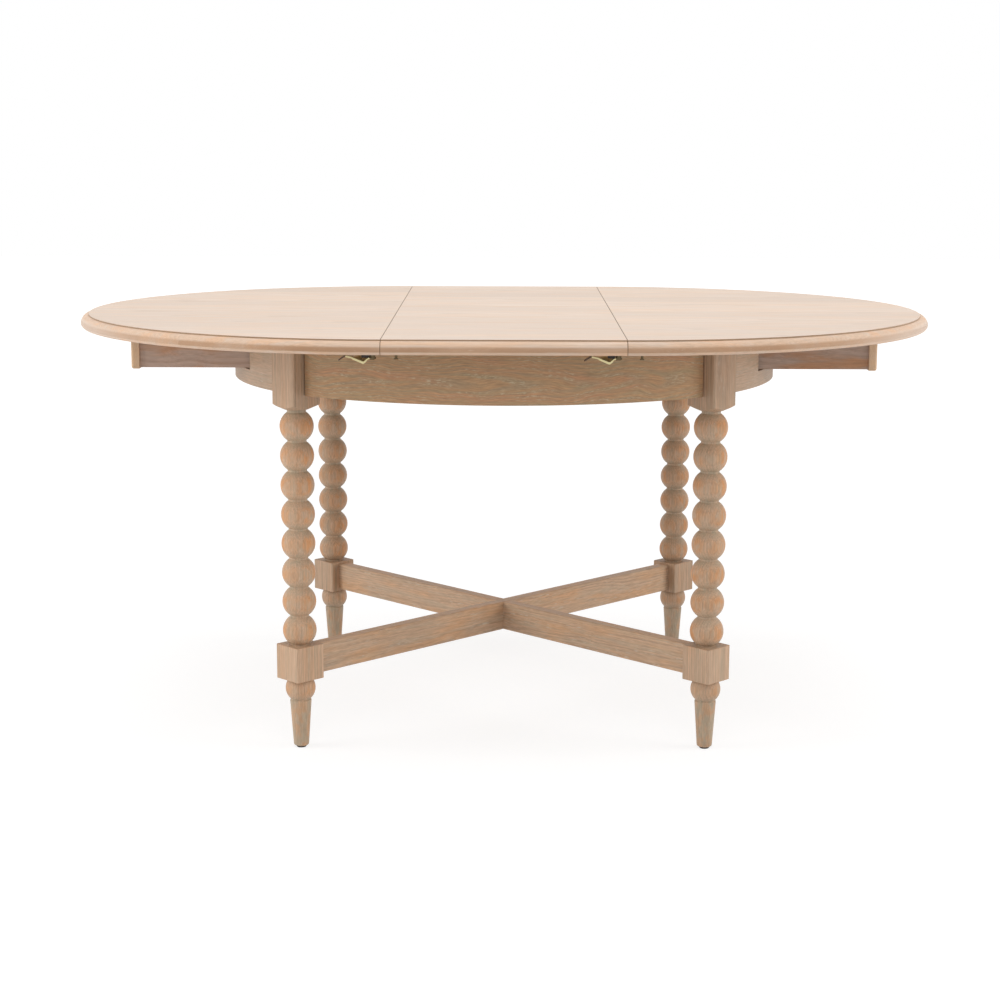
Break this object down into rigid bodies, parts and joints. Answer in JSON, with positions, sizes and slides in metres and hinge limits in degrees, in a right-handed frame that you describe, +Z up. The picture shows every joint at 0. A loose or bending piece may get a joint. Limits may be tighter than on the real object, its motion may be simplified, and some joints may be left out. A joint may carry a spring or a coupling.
{
  "type": "round extending dining table",
  "caption": "Round dining table on bead-turned legs, drawn out on wooden slides with a loose leaf held between its moulded half tops by swivel locks.",
  "frame": {"origin": "on the floor, under the middle of the table", "axes": "+X along the pull-out to the right half, +Y to the back as pictured, +Z up"},
  "size_m": [1.6058, 1.2, 0.762],
  "materials": {
    "oak_top": "limed oak, matt lacquer",
    "oak_frame": "limed oak, matt lacquer",
    "oak_runner": "limed oak, matt",
    "oak_end_board": "oak, matt lacquer",
    "hardwood_inner": "plain hardwood, sanded",
    "brass": "pale polished brass plate",
    "zinc_steel": "zinc plated",
    "glide_plastic": "dark brown nylon"
  },
  "bodies": {
    "frame": {"apron_back": "oak_frame", "apron_front": "oak_frame", "apron_left": "oak_frame", "apron_right": "oak_frame", "bearer_left": "hardwood_inner", "bearer_right": "hardwood_inner", "bearer_screws": "zinc_steel", "corner_block_back_left": "hardwood_inner", "corner_block_back_right": "hardwood_inner", "corner_block_front_left": "hardwood_inner", "corner_block_front_right": "hardwood_inner", "corner_block_screws": "zinc_steel", "cross_rail_lower": "oak_frame", "cross_rail_upper": "oak_frame", "foot_glides": "glide_plastic", "guide_rail_back": "hardwood_inner", "guide_rail_front": "hardwood_inner", "hanger_bolts": "zinc_steel", "hanger_nuts": "zinc_steel", "hanger_washers": "zinc_steel", "leg_back_left": "oak_frame", "leg_back_right": "oak_frame", "leg_front_left": "oak_frame", "leg_front_right": "oak_frame"},
    "half_left": {"board_dowels_left": "hardwood_inner", "end_board_left": "oak_end_board", "lock_pins_left": "brass", "lock_plate_left_back": "brass", "lock_plate_left_front": "brass", "lock_screws_left": "brass", "runner_left_back": "oak_runner", "runner_left_front": "oak_runner", "runner_screws_left": "zinc_steel", "runner_stops_left": "hardwood_inner", "top_left": "oak_top"},
    "half_right": {"board_dowels_right": "hardwood_inner", "end_board_right": "oak_end_board", "lock_catch_right_back": "brass", "lock_catch_right_front": "brass", "lock_screws_right": "brass", "runner_right_back": "oak_runner", "runner_right_front": "oak_runner", "runner_screws_right": "zinc_steel", "runner_stops_right": "hardwood_inner", "top_right": "oak_top"},
    "leaf": {"leaf": "oak_top", "lock_catch_left_back": "brass", "lock_catch_left_front": "brass", "lock_pins_right": "brass", "lock_plate_right_back": "brass", "lock_plate_right_front": "brass", "lock_screws_leaf": "brass"},
    "lever_left_back": {"lock_lever_left_back": "brass"},
    "lever_left_front": {"lock_lever_left_front": "brass"},
    "lever_right_back": {"lock_lever_right_back": "brass"},
    "lever_right_front": {"lock_lever_right_front": "brass"}
  },
  "joints": [
    {"name": "pull_left", "type": "slide", "parent": "frame", "child": "half_left", "axis": [-1, 0, 0], "range_m": [0, 0.02]},
    {"name": "pull_right", "type": "slide", "parent": "frame", "child": "half_right", "axis": [1, 0, 0], "range_m": [0, 0.02]},
    {"name": "leaf_lift", "type": "slide", "parent": "frame", "child": "leaf", "axis": [0, 0, 1], "range_m": [0, 0.06]},
    {"name": "swing_left_front", "type": "hinge", "parent": "half_left", "child": "lever_left_front", "pos_m": [-0.217, -0.57, 0.73], "axis": [0, 0, 1], "range_deg": [-180, 0]},
    {"name": "swing_left_back", "type": "hinge", "parent": "half_left", "child": "lever_left_back", "pos_m": [-0.217, 0.57, 0.73], "axis": [0, 0, -1], "range_deg": [-180, 0]},
    {"name": "swing_right_front", "type": "hinge", "parent": "leaf", "child": "lever_right_front", "pos_m": [0.189, -0.57, 0.73], "axis": [0, 0, 1], "range_deg": [-180, 0]},
    {"name": "swing_right_back", "type": "hinge", "parent": "leaf", "child": "lever_right_back", "pos_m": [0.189, 0.57, 0.73], "axis": [0, 0, -1], "range_deg": [-180, 0]}
  ]
}
